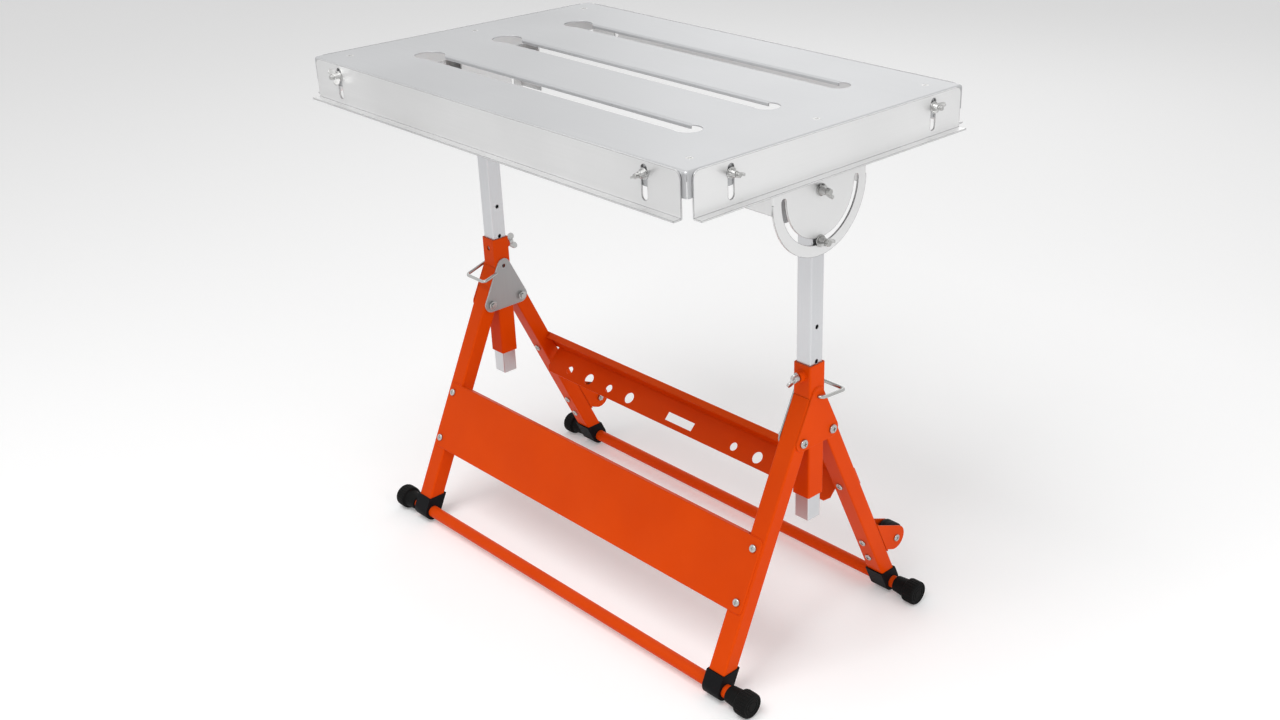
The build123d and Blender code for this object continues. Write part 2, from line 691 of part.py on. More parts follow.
def tilt_bracket():
    """Half-round plate with the arc slot, and two side wings folded inwards."""
    w = tilt_half_width
    z_top = top_height - 2 * sheet
    outline = Pos(0, pivot_height) * (Circle(w) & (Pos(0, -w / 2) * Rectangle(2 * w, w)))
    outline = outline + Pos(0, (pivot_height + z_top) / 2) * Rectangle(2 * w, z_top - pivot_height)
    ring = Circle(tilt_slot_radius + tilt_slot_width / 2) - Circle(tilt_slot_radius - tilt_slot_width / 2)
    arc = ring & (Pos(0, -w / 2) * Rectangle(2 * w, w))
    for side in (-1, 1):
        arc = arc + Pos(side * tilt_slot_radius, 0) * Circle(tilt_slot_width / 2)
    outline = outline - Pos(0, pivot_height) * arc
    body = plate_x(outline, tilt_plate_x, tilt_plate_x + tilt_plate)
    z_wing = top_height - sheet - crossbar_depth
    outer_x = tilt_plate_x + tilt_plate
    for side in (-1, 1):
        z0 = pivot_height - tilt_wing_below
        body = body + block(crossbar_inner_x, tilt_plate_x + 1, side * (w - tilt_plate), side * w, z0, z_wing)
        bend = (outer_x - tilt_plate, outer_x, side * (w - tilt_plate), side * w, pivot_height, z_top)
        body = body - block(*bend)
        round_edge = rod_z(tilt_plate, pivot_height, z_top, outer_x - tilt_plate, side * (w - tilt_plate))
        body = body + (round_edge & block(*bend))
    return body - rod_x(tilt_bolt_radius + running, 0, 2 * post_x, 0, pivot_height)


def inner_plate():
    """Second pivot plate on the inner side of the post."""
    z0 = pivot_height - inner_plate_below
    z1 = top_height - 2 * sheet
    outline = Pos(0, (z0 + z1) / 2) * Rectangle(2 * inner_plate_half_width, z1 - z0)
    outline = fillet(outline.vertices().group_by(Axis.Y)[0], inner_plate_corner)
    body = plate_x(outline, inner_plate_x, inner_plate_x + tilt_plate)
    return body - rod_x(tilt_bolt_radius + running, 0, 2 * post_x, 0, pivot_height)


# ---------------------------------------------------------------- guide rails
def rail_bolt_places():
    """Centre of each rail bolt at the skirt's face, with the axis it points along."""
    x = half_l - rail_bolt_inset_x
    y = half_w - rail_bolt_inset_y
    long_side = [(sx * x, sy * half_w, "Y") for sy in (-1, 1) for sx in (-1, 1)]
    short_side = [(sx * half_l, sy * y, "X") for sx in (-1, 1) for sy in (-1, 1)]
    return long_side + short_side


def rail(length, bolt_span):
    """Guide rail drawn for the front: its inner face on Y = 0, outer side towards -Y."""
    z1 = top_height - rail_drop
    z0 = z1 - rail_height
    outline = Pos(0, (z0 + z1) / 2) * Rectangle(length, rail_height)
    outline = fillet(outline.vertices().group_by(Axis.Y)[-1], rail_corner)
    zb = top_height - rail_bolt_drop
    middle = zb + (rail_slot_above - rail_slot_below) / 2
    for x in (-bolt_span, bolt_span):
        slot = SlotOverall(rail_slot_above + rail_slot_below, rail_slot_width)
        outline = outline - Pos(x, middle) * Rot(0, 0, 90) * slot
    web = extrude(Plane.XZ * outline, amount=sheet)
    foot = block(-length / 2, length / 2, -sheet - rail_flange, -sheet / 2, z0, z0 + sheet)
    body = web + foot
    low_edges = [e for e in body.edges().filter_by(Axis.X) if abs(e.center().Z - z0) < 0.1]
    bend = [e for e in low_edges if abs(e.center().Y) < 0.1]
    return fillet(bend, sheet * 1.2)


def front_rail():
    body = rail(top_length - 2 * rail_end_gap, half_l - rail_bolt_inset_x)
    return Pos(0, -half_w - rail_gap, 0) * body


def right_rail():
    body = rail(top_width - 2 * rail_end_gap, half_w - rail_bolt_inset_y)
    return Pos(half_l + rail_gap, 0, 0) * Rot(0, 0, 90) * body


def outward(x, y, axis):
    """Direction name that points away from the top at a rail bolt."""
    if axis == "X":
        return "+X" if x > 0 else "-X"
    return "+Y" if y > 0 else "-Y"


def rail_bolt_set():
    """Carriage bolts through the skirts, heads inside."""
    solids = []
    z = top_height - rail_bolt_drop
    length = 2 * sheet + rail_gap + 15.0
    for x, y, axis in rail_bolt_places():
        bolt = rod_z(6.5, -sheet - 2.6, -sheet)
        bolt = fillet(bolt.edges().group_by(Axis.Z)[0], 1.6)
        bolt = bolt + rod_z(rail_bolt_radius, -sheet - 0.5, length - sheet - 0.5)
        solids.append(facing(bolt, outward(x, y, axis), (x, y, z)))
    return solids


def rail_wing_nut_set():
    """A washer and a wing nut outside each rail bolt's slot."""
    solids = []
    z = top_height - rail_bolt_drop
    seat = 2 * rail_gap + sheet
    turns = (-50.0, 25.0, 65.0, -20.0, 30.0, -60.0, 78.0, -72.0)
    for place, turn in zip(rail_bolt_places(), turns):
        x, y, axis = place
        washer = rod_z(7.0, 0, 1.2) - rod_z(rail_bolt_radius + running, -1, 2)
        nut = Rot(0, 0, turn) * wing_nut(rail_bolt_radius, 25.0, 11.5, 5.2, 7.0)
        way = outward(x, y, axis)
        solids.append(facing(Pos(0, 0, seat) * washer, way, (x, y, z)))
        solids.append(facing(Pos(0, 0, seat + 1.2 + running) * nut, way, (x, y, z)))
    return solids


# ---------------------------------------------------------------- assembly
def build_nodes():
    """Every node's name and its solid or group of solids."""
    pin_clear = wire_radius + running
    outer = gusset(gusset_outer_x, gusset_outer_x + sheet, pin_clear)
    inner = gusset(post_x - half_socket - sheet, post_x - half_socket, post_hole_radius)
    lock_z = pivot_height - tilt_slot_radius
    right = {
        "socket": socket(), "outer_gusset": outer, "inner_gusset": inner, "post": post(),
        "clamp_screw": clamp_screw(), "crossbar": crossbar(), "tilt_bracket": tilt_bracket(),
        "inner_pivot_plate": inner_plate(), "end_rail": right_rail(),
        "pivot_wing_nut": tilt_wing_nut(pivot_height, 40.0), "lock_wing_nut": tilt_wing_nut(lock_z, 86.0),
    }
    nodes = {}
    for name, shape in right.items():
        nodes[name + "_right"] = shape
        nodes[name + "_left"] = turned(shape)
    nodes["lock_pin_right"] = lock_pin(right_bail_angle)
    nodes["lock_pin_left"] = turned(lock_pin(left_bail_angle))
    nodes["clamp_bosses"] = pair(clamp_boss())
    nodes["hinge_bolts"] = pair(hinge_bolt(pivot_y), hinge_bolt(-pivot_y))
    nodes["hinge_nuts"] = pair(hinge_nut(pivot_y), hinge_nut(-pivot_y))
    nodes["tilt_bolts"] = pair(pivot_bolt(), lock_bolt())
    nodes["tilt_washers"] = pair(tilt_washer(pivot_height), tilt_washer(lock_z))
    mirrored = {"rear_foot_cap": foot_cap(), "rear_connector": connector(), "rear_leg": rear_leg(),
                "wheel_bracket": wheel_bracket(), "wheel": wheel()}
    for name, shape in mirrored.items():
        nodes[name + "_right"] = shape
        nodes[name + "_left"] = mirror(shape, about=Plane.YZ)
    fronts = {"front_foot_cap": at_front(foot_cap()), "front_connector": at_front(connector()),
              "front_leg": front_leg()}
    for name, shape in fronts.items():
        nodes[name + "_right"] = shape
        nodes[name + "_left"] = mirror(shape, about=Plane.YZ)
    nodes["rear_foot_tube"] = foot_tube()
    nodes["front_foot_tube"] = at_front(foot_tube())
    nodes["front_panel"] = front_panel()
    nodes["panel_screws"] = panel_screw_set()
    nodes["rear_tray"] = rear_tray()
    nodes["tray_bolts"] = tray_bolt_set()
    nodes["bracket_screws"] = bracket_screw_set()
    axle = axle_bolt()
    nodes["wheel_axles"] = axle + [mirror(s, about=Plane.YZ) for s in axle]
    nodes["table_top"] = table_top()
    nodes["top_screws"] = top_screw_set()
    nodes["front_rail"] = front_rail()
    nodes["rear_rail"] = turned(front_rail())
    nodes["rail_bolts"] = rail_bolt_set()
    nodes["rail_wing_nuts"] = rail_wing_nut_set()
    return nodes


def pair(*shapes):
    """The given right-hand solids and their turned twins."""
    return list(shapes) + [turned(s) for s in shapes]


def write_nodes(nodes):
    os.makedirs("parts", exist_ok=True)
    for name, shape in nodes.items():
        group = shape if isinstance(shape, list) else [shape]
        solids = [solid for part in group for solid in part.solids()]
        body = solids[0] if len(solids) == 1 else Compound(children=solids)
        export_step(body, os.path.join("parts", name + ".step"))
        print(name, len(solids), "solids", round(sum(s.volume for s in solids)), "mm3")


write_nodes(build_nodes())
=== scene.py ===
import math

import bmesh
import bpy
from mathutils import Matrix, Vector


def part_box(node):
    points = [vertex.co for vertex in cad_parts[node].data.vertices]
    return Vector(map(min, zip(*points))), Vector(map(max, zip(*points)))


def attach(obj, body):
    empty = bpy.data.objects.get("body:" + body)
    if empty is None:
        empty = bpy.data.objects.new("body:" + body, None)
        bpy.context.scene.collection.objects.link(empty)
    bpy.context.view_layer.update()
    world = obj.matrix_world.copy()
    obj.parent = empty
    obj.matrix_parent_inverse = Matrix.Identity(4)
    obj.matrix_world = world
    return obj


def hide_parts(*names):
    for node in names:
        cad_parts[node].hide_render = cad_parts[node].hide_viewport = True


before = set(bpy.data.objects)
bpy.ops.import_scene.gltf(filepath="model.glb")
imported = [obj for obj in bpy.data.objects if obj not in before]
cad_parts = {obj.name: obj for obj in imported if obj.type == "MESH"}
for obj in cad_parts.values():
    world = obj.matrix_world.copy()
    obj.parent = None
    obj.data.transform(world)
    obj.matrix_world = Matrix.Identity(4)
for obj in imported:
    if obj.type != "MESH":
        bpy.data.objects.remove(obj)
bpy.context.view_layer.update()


# ---------------------------------------------------------------- room
# A plain pale floor that runs on past every edge of the view, and soft studio
# light: a large key, a wide fill, a weak back light and a bright even surround.

def new_material(name):
    """An empty node material with its surface shader."""
    material = bpy.data.materials.new(name)
    material.use_nodes = True
    material.node_tree.nodes.clear()
    shader = material.node_tree.nodes.new("ShaderNodeBsdfPrincipled")
    output = material.node_tree.nodes.new("ShaderNodeOutputMaterial")
    material.node_tree.links.new(shader.outputs["BSDF"], output.inputs["Surface"])
    return material, material.node_tree, shader


def place(tree, kind, settings=(), **values):
    """Adds a node, sets its properties and its plain socket values, and returns it."""
    node = tree.nodes.new(kind)
    for key, value in dict(settings).items():
        setattr(node, key, value)
    for key, value in values.items():
        node.inputs[key.replace("_", " ")].default_value = value
    return node


def object_from(bm, name, material):
    """Writes a bmesh to a new object at the origin, with one material."""
    bmesh.ops.remove_doubles(bm, verts=bm.verts, dist=1e-6)
    bmesh.ops.recalc_face_normals(bm, faces=bm.faces)
    mesh = bpy.data.meshes.new(name)
    bm.to_mesh(mesh)
    bm.free()
    mesh.materials.append(material)
    piece = bpy.data.objects.new(name, mesh)
    bpy.context.scene.collection.objects.link(piece)
    return piece


floor_half = 14.0
floor_tone = (0.88, 0.88, 0.88, 1.0)
floor_glow = 0.16
white = (1.0, 1.0, 1.0, 1.0)

floor_material, _, floor_shader = new_material("pale_floor")
floor_shader.inputs["Base Color"].default_value = floor_tone
floor_shader.inputs["Roughness"].default_value = 0.85
floor_shader.inputs["Emission Color"].default_value = white
floor_shader.inputs["Emission Strength"].default_value = floor_glow
floor_bm = bmesh.new()
bmesh.ops.create_grid(floor_bm, x_segments=1, y_segments=1, size=floor_half)
floor = object_from(floor_bm, "studio_floor", floor_material)

# The surround is full white where it is seen or mirrored, and weaker where it only lights.
surround_light = 0.52
surround_seen = 1.0
world = bpy.data.worlds.new("studio")
bpy.context.scene.world = world
world.use_nodes = True
world_tree = world.node_tree
surround = world_tree.nodes["Background"]
surround.inputs["Color"].default_value = white
ray = world_tree.nodes.new("ShaderNodeLightPath")
seen = place(world_tree, "ShaderNodeMath", {"operation": "MAXIMUM"})
world_tree.links.new(ray.outputs["Is Camera Ray"], seen.inputs[0])
world_tree.links.new(ray.outputs["Is Glossy Ray"], seen.inputs[1])
surround_strength = place(world_tree, "ShaderNodeMapRange", To_Min=surround_light, To_Max=surround_seen)
world_tree.links.new(seen.outputs[0], surround_strength.inputs["Value"])
world_tree.links.new(surround_strength.outputs[0], surround.inputs["Strength"])
bpy.context.scene.view_settings.view_transform = "Standard"


def soft_light(name, place_at, aim, size, power, glints=True):
    """A large square area light that points at a spot, with or without glints on polished faces."""
    lamp = bpy.data.lights.new(name, "AREA")
    lamp.size = size
    lamp.energy = power
    holder = bpy.data.objects.new(name, lamp)
    holder.location = place_at
    holder.visible_glossy = glints
    holder.rotation_euler = (Vector(aim) - Vector(place_at)).to_track_quat("-Z", "Y").to_euler()
    bpy.context.scene.collection.objects.link(holder)


middle = (0.0, 0.0, 0.45)            # of the stand
soft_light("key_light", (0.1, -1.45, 3.1), middle, size=1.8, power=52.0)
soft_light("fill_light", (3.0, 0.0, 1.2), middle, size=2.2, power=30.0, glints=False)
soft_light("back_light", (-1.6, 2.6, 2.2), middle, size=2.0, power=9.0)

camera_place = (1.48485, -1.29805, 1.2782)
camera_dip = 25.57                  # degrees below level
camera_heading = 43.26              # degrees round from +Y towards -X
camera_data = bpy.data.cameras.new("camera")
camera_data.sensor_width = 36.0
camera_data.lens = 40.75
camera_data.shift_x = -0.0994
camera = bpy.data.objects.new("camera", camera_data)
camera.location = camera_place
camera.rotation_euler = (math.radians(90.0 - camera_dip), 0.0, math.radians(camera_heading))
bpy.context.scene.collection.objects.link(camera)
bpy.context.scene.camera = camera


# ---------------------------------------------------------------- top, rails and tilt brackets
# Two-millimetre steel sheet, cut, folded and zinc plated. The plating is a
# satin grey with faint rolling lines along the sheet, and the edges of the
# rails and brackets are painted darker than their faces: painted shade for
# the thin shadow lines along their folds and joints.

def group_with(name, inputs, outputs):
    """An empty shader node group with named inputs and outputs."""
    group = bpy.data.node_groups.new(name, "ShaderNodeTree")
    for socket, kind, value in inputs:
        made = group.interface.new_socket(socket, in_out="INPUT", socket_type=kind)
        made.default_value = value
    for socket, kind in outputs:
        group.interface.new_socket(socket, in_out="OUTPUT", socket_type=kind)
    return group, group.nodes.new("NodeGroupInput"), group.nodes.new("NodeGroupOutput")


def link(tree, source, socket, target, into):
    """Joins an output socket of one node to an input socket of another, both by name or number."""
    tree.links.new(source.outputs[socket], target.inputs[into])


def maths(tree, operation, a=None, b=None, clamp=False):
    """A Math node whose inputs are sockets or plain numbers."""
    node = place(tree, "ShaderNodeMath", {"operation": operation, "use_clamp": clamp})
    for number, source in enumerate((a, b)):
        if isinstance(source, (int, float)):
            node.inputs[number].default_value = source
        elif source is not None:
            tree.links.new(source, node.inputs[number])
    return node.outputs[0]


def build_edge_wear():
    """Mask of the cut edges and folds, broken up by noise, and a normal that rounds them; it carries wear on
    most finishes and painted shade on the rail and bracket edges.
    """
    contrast = 9.0
    group, given, out = group_with(
        "edge_wear",
        [("Width", "NodeSocketFloat", 0.001),
         ("Amount", "NodeSocketFloat", 1.0),
         ("Breakup", "NodeSocketFloat", 90.0)],
        [("Mask", "NodeSocketFloat"), ("Normal", "NodeSocketVector")])
    bevel = place(group, "ShaderNodeBevel", {"samples": 4})
    link(group, given, "Width", bevel, "Radius")
    face = group.nodes.new("ShaderNodeNewGeometry")
    dot = place(group, "ShaderNodeVectorMath", {"operation": "DOT_PRODUCT"})
    link(group, bevel, "Normal", dot, 0)
    link(group, face, "Normal", dot, 1)
    bend = maths(group, "SUBTRACT", 1.0, dot.outputs["Value"])
    where = group.nodes.new("ShaderNodeTexCoord")
    speckle = place(group, "ShaderNodeTexNoise", Detail=4.0, Roughness=0.6)
    link(group, where, "Object", speckle, "Vector")
    link(group, given, "Breakup", speckle, "Scale")
    uneven = maths(group, "MULTIPLY", bend, speckle.outputs["Fac"])
    strong = maths(group, "MULTIPLY", uneven, contrast)
    scaled = maths(group, "MULTIPLY", strong, given.outputs["Amount"], clamp=True)
    group.links.new(scaled, out.inputs["Mask"])
    link(group, bevel, "Normal", out, "Normal")
    return group


def build_grain():
    """Fine lines along one direction, and a slow clouding, both from 0 to 1."""
    group, given, out = group_with(
        "grain",
        [("Stretch", "NodeSocketVector", (1.0, 1.0, 1.0)),
         ("Scale", "NodeSocketFloat", 400.0),
         ("Cloud Scale", "NodeSocketFloat", 6.0)],
        [("Lines", "NodeSocketFloat"), ("Cloud", "NodeSocketFloat")])
    where = group.nodes.new("ShaderNodeTexCoord")
    stretched = place(group, "ShaderNodeVectorMath", {"operation": "MULTIPLY"})
    link(group, where, "Object", stretched, 0)
    link(group, given, "Stretch", stretched, 1)
    lines = place(group, "ShaderNodeTexNoise", Detail=3.0, Roughness=0.55)
    link(group, stretched, "Vector", lines, "Vector")
    link(group, given, "Scale", lines, "Scale")
    cloud = place(group, "ShaderNodeTexNoise", Detail=5.0, Roughness=0.5)
    link(group, where, "Object", cloud, "Vector")
    link(group, given, "Cloud Scale", cloud, "Scale")
    link(group, lines, "Fac", out, "Lines")
    link(group, cloud, "Fac", out, "Cloud")
    return group


def build_dust():
    """Mask of thin dust on faces that look upward, in patches."""
    group, given, out = group_with(
        "dust",
        [("Amount", "NodeSocketFloat", 0.2), ("Scale", "NodeSocketFloat", 14.0)],
        [("Mask", "NodeSocketFloat")])
    face = group.nodes.new("ShaderNodeNewGeometry")
    split = group.nodes.new("ShaderNodeSeparateXYZ")
    link(group, face, "Normal", split, 0)
    where = group.nodes.new("ShaderNodeTexCoord")
    patch = place(group, "ShaderNodeTexNoise", Detail=6.0, Roughness=0.65)
    link(group, where, "Object", patch, "Vector")
    link(group, given, "Scale", patch, "Scale")
    upward = maths(group, "MAXIMUM", split.outputs["Z"], 0.0)
    patchy = maths(group, "MULTIPLY", upward, patch.outputs["Fac"])
    scaled = maths(group, "MULTIPLY", patchy, given.outputs["Amount"], clamp=True)
    group.links.new(scaled, out.inputs["Mask"])
    return group


edge_wear = build_edge_wear()
grain = build_grain()
dust = build_dust()


def effect(tree, group, **values):
    """Places one of the shared effects in a material with its own values."""
    return place(tree, "ShaderNodeGroup", {"node_tree": group}, **values)


def blend_colours(tree, mask, a, b):
    """Mixes two colours, each a socket or a plain colour, by a mask socket."""
    mix = place(tree, "ShaderNodeMix", {"data_type": "RGBA"})
    tree.links.new(mask, mix.inputs["Factor"])
    for socket, source in (("A", a), ("B", b)):
        target = [i for i in mix.inputs if i.name == socket and i.type == "RGBA"][0]
        if isinstance(source, tuple):
            target.default_value = (*source, 1.0)
        else:
            tree.links.new(source, target)
    return [o for o in mix.outputs if o.type == "RGBA"][0]


def remap(tree, source, low, high, from_low=0.3, from_high=0.7):
    """Maps a noise value onto a range."""
    node = place(tree, "ShaderNodeMapRange")
    tree.links.new(source, node.inputs["Value"])
    node.inputs["From Min"].default_value = from_low
    node.inputs["From Max"].default_value = from_high
    node.inputs["To Min"].default_value = low
    node.inputs["To Max"].default_value = high
    return node.outputs[0]


def grey(tone):
    """A neutral colour."""
    return (tone, tone, tone)


plate_dust = (0.55, 0.54, 0.52)


def plated_steel(name, pale, dark, edge_tone, along, rough,
                 metal=0.85, wear=1.0, edge=0.0009, lines=420.0, relief=0.03):
    """Zinc plate: cloudy grey, rolling lines along one way, edges of another tone, a little dust on top."""
    material, tree, shader = new_material(name)
    rolled = effect(tree, grain, Stretch=along, Scale=lines, Cloud_Scale=5.0)
    edge_mask = effect(tree, edge_wear, Width=edge, Amount=wear, Breakup=60.0)
    settled = effect(tree, dust, Amount=0.10, Scale=9.0)
    base = blend_colours(tree, remap(tree, rolled.outputs["Cloud"], 0.0, 1.0), dark, pale)
    streak = blend_colours(tree, remap(tree, rolled.outputs["Lines"], 0.0, 0.35), base, dark)
    # the edge tone is worn metal on the top and the fasteners, and painted shade on the rails and brackets
    edged = blend_colours(tree, edge_mask.outputs["Mask"], streak, edge_tone)
    dusty = blend_colours(tree, settled.outputs["Mask"], edged, plate_dust)
    tree.links.new(dusty, shader.inputs["Base Color"])
    haze = remap(tree, rolled.outputs["Cloud"], rough - 0.05, rough + 0.07)
    tree.links.new(haze, shader.inputs["Roughness"])
    shader.inputs["Metallic"].default_value = metal
    bump = place(tree, "ShaderNodeBump", Strength=relief, Distance=0.0004)
    link(tree, rolled, "Lines", bump, "Height")
    link(tree, edge_mask, "Normal", bump, "Normal")
    link(tree, bump, "Normal", shader, "Normal")
    return material


def dress(material, *names):
    """Gives the named pieces of the frame their finish."""
    for name in names:
        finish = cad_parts[name].data.materials
        finish.clear()
        finish.append(material)


def both(*names):
    """The right and left piece of each name."""
    return [name + side for name in names for side in ("_right", "_left")]


along_x = (0.02, 1.0, 1.0)
along_y = (1.0, 0.02, 1.0)
along_z = (1.0, 1.0, 0.02)
# painted shade: this dark edge tone on the rails and tilt brackets stands in for thin shadow lines along
# their folds and joints
painted_shade_edge = (0.13, 0.133, 0.14)
# painted shade: the top's grey is set darker than the rails' to offset the overhead key light; the plating
# itself is the same
top_pale = (0.52, 0.525, 0.535)
top_dark = (0.47, 0.475, 0.485)
top_edge = (0.86, 0.87, 0.88)
top_sheet = plated_steel("top_sheet", top_pale, top_dark, top_edge, along_x, 0.46, wear=0.6)
long_rail = plated_steel("long_rail", grey(0.76), grey(0.70), painted_shade_edge, along_x, 0.42,
                         wear=1.8, edge=0.0013)
# painted light: the end rails and tilt brackets get a lighter grey than the long rails, for their faces
# turned to the side lamp; the plating itself is the same
end_rail = plated_steel("end_rail", grey(0.85), grey(0.79), painted_shade_edge, along_y, 0.42,
                        wear=1.8, edge=0.0013)
bracket_plate = plated_steel("bracket_plate", grey(0.81), grey(0.75), painted_shade_edge, along_z, 0.44,
                             wear=1.8, edge=0.0013)
# painted shade: the inner gussets get a much darker grey than the other plated sheet, for their inner faces
# that sit in shade
gusset_plate = plated_steel("gusset_plate", grey(0.42), grey(0.36), grey(0.75), along_z, 0.48)
dress(top_sheet, "table_top")
dress(long_rail, "front_rail", "rear_rail", *both("crossbar"))
dress(end_rail, *both("end_rail"))
dress(bracket_plate, *both("tilt_bracket", "inner_pivot_plate"))
dress(gusset_plate, *both("inner_gusset"))


# ---------------------------------------------------------------- posts
# Drawn square steel tube, zinc plated, with height holes punched through two
# faces. It is smoother than the sheet and has draw lines along its length.

post_pale = (0.67, 0.675, 0.69)
post_dark = (0.58, 0.585, 0.60)
post_tube = plated_steel("post_tube", post_pale, post_dark, grey(0.88), along_z, 0.34,
                         metal=0.9, lines=700.0, relief=0.05)
dress(post_tube, *both("post"))


# ---------------------------------------------------------------- painted frame
# Sockets, outer gussets, legs, foot tubes, panel, tray and wheel brackets are
# mild steel in orange powder coat: a semi-gloss skin with a faint orange
# peel, thinner and paler over the edges.

coat_dust = (0.62, 0.22, 0.10)
coat_shine = 0.05


def powder_coat(name, body, deep, edge_tone, peel=900.0, edge=0.0011, rough=0.34):
    """Powder coat: even colour, fine peel in the gloss, thin along edges, dust in patches."""
    material, tree, shader = new_material(name)
    skin = effect(tree, grain, Scale=peel, Cloud_Scale=8.0)
    edge_mask = effect(tree, edge_wear, Width=edge, Amount=0.55, Breakup=140.0)
    settled = effect(tree, dust, Amount=0.10, Scale=11.0)
    base = blend_colours(tree, remap(tree, skin.outputs["Cloud"], 0.0, 1.0), deep, body)
    thin = blend_colours(tree, edge_mask.outputs["Mask"], base, edge_tone)
    dusty = blend_colours(tree, settled.outputs["Mask"], thin, coat_dust)
    tree.links.new(dusty, shader.inputs["Base Color"])
    gloss = remap(tree, skin.outputs["Cloud"], rough - 0.04, rough + 0.06)
    tree.links.new(gloss, shader.inputs["Roughness"])
    shader.inputs["Specular IOR Level"].default_value = coat_shine
    bump = place(tree, "ShaderNodeBump", Strength=0.10, Distance=0.0003)
    link(tree, skin, "Lines", bump, "Height")
    link(tree, edge_mask, "Normal", bump, "Normal")
    link(tree, bump, "Normal", shader, "Normal")
    return material


orange_body = (0.72, 0.062, 0.0)
orange_deep = (0.66, 0.052, 0.0)
orange_thin = (0.85, 0.12, 0.012)
orange_coat = powder_coat("orange_coat", orange_body, orange_deep, orange_thin)
dress(orange_coat, *both("socket", "outer_gusset", "front_leg", "rear_leg", "wheel_bracket"))
dress(orange_coat, "clamp_bosses", "front_panel", "rear_tray", "front_foot_tube", "rear_foot_tube")


# ---------------------------------------------------------------- fasteners, pins and wing screws
# Cold-headed screws, turned bolts and cast wing nuts, all bright zinc plated;
# the lock pins are bent from five-millimetre plated wire.

every_way = (1.0, 1.0, 1.0)
bright_zinc = plated_steel("bright_zinc", (0.56, 0.56, 0.55), (0.40, 0.40, 0.39), (0.90, 0.90, 0.89),
                           every_way, 0.24, metal=1.0, edge=0.0005, lines=900.0)
cast_zinc = plated_steel("cast_zinc", (0.62, 0.62, 0.61), (0.44, 0.44, 0.435), (0.90, 0.90, 0.89),
                         every_way, 0.32, metal=1.0, edge=0.0008, lines=350.0, relief=0.12)
dress(bright_zinc, "hinge_bolts", "hinge_nuts", "tilt_bolts", "tilt_washers", "panel_screws", "tray_bolts")
dress(bright_zinc, "bracket_screws", "wheel_axles", "top_screws", "rail_bolts", *both("lock_pin"))
dress(cast_zinc, "rail_wing_nuts", *both("clamp_screw", "pivot_wing_nut", "lock_wing_nut"))


# ---------------------------------------------------------------- foot caps
# Moulded rubber tips pushed on the ends of the foot tubes: a slim collar, a
# flared ribbed barrel that stands on the floor, and a ringed end face.

moulding_dust = (0.13, 0.125, 0.12)
moulding_shine = 0.06


def moulded(name, body, pale, rough, peel, relief, edge=0.0008):
    """Moulded rubber or plastic: near black, scuffed paler on its edges, fine skin texture."""
    material, tree, shader = new_material(name)
    skin = effect(tree, grain, Scale=peel, Cloud_Scale=30.0)
    edge_mask = effect(tree, edge_wear, Width=edge, Amount=0.35, Breakup=200.0)
    settled = effect(tree, dust, Amount=0.03, Scale=40.0)
    scuffed = blend_colours(tree, edge_mask.outputs["Mask"], body, pale)
    dusty = blend_colours(tree, settled.outputs["Mask"], scuffed, moulding_dust)
    tree.links.new(dusty, shader.inputs["Base Color"])
    gloss = remap(tree, skin.outputs["Cloud"], rough - 0.06, rough + 0.08)
    tree.links.new(gloss, shader.inputs["Roughness"])
    bump = place(tree, "ShaderNodeBump", Strength=relief, Distance=0.0004)
    link(tree, skin, "Lines", bump, "Height")
    link(tree, edge_mask, "Normal", bump, "Normal")
    link(tree, bump, "Normal", shader, "Normal")
    shader.inputs["Specular IOR Level"].default_value = moulding_shine
    return material


cap_rubber = moulded("cap_rubber", grey(0.006), grey(0.04), rough=0.60, peel=1500.0, relief=0.22)


def turned_profile(bm, points, centre, axis, steps):
    """Spins a closed outline of (along, radius) points about an axis through centre."""
    along = Vector(axis)
    across = Vector((0.0, 0.0, 1.0))
    ring = [bm.verts.new(Vector(centre) + along * x + across * r) for x, r in points]
    edges = [bm.edges.new(pair) for pair in zip(ring, ring[1:])]
    bmesh.ops.spin(bm, geom=ring + edges, cent=centre, axis=axis,
                   angle=2 * math.pi, steps=steps, use_merge=True)
    bmesh.ops.remove_doubles(bm, verts=bm.verts, dist=1e-6)


cap_length = 0.042
cap_bore = 0.00955
cap_bore_depth = 0.0360
cap_barrel = 0.0185                 # radius of the thick end
cap_groove = cap_length - 0.0008    # depth of the two rings in the end face
cap_ribs = 24
cap_rib_depth = 0.0009
cap_rib_start = 0.0236
cap_rib_end = 0.0402
cap_rib_reach = 0.0165              # only points further out than this are pressed
cap_outline = [
    (cap_bore_depth, 0.0), (cap_bore_depth, cap_bore), (0.0, cap_bore), (0.0, 0.0113),
    (0.0006, 0.0121), (0.0018, 0.0125), (0.0030, 0.0126), (0.0110, 0.0133), (0.0200, 0.0142),
    (0.0212, 0.0149), (0.0220, 0.0166), (0.0230, 0.0179), (0.0244, 0.0184),
    (0.0260, cap_barrel), (0.0320, cap_barrel), (0.0378, cap_barrel),
    (0.0400, 0.0182), (0.0413, 0.0172), (cap_length, 0.0158),
    (cap_length, 0.0140), (cap_groove, 0.0134), (cap_groove, 0.0120),
    (cap_length, 0.0114), (cap_length, 0.0090), (cap_groove, 0.0084),
    (cap_groove, 0.0070), (cap_length, 0.0064), (cap_length, 0.0)]


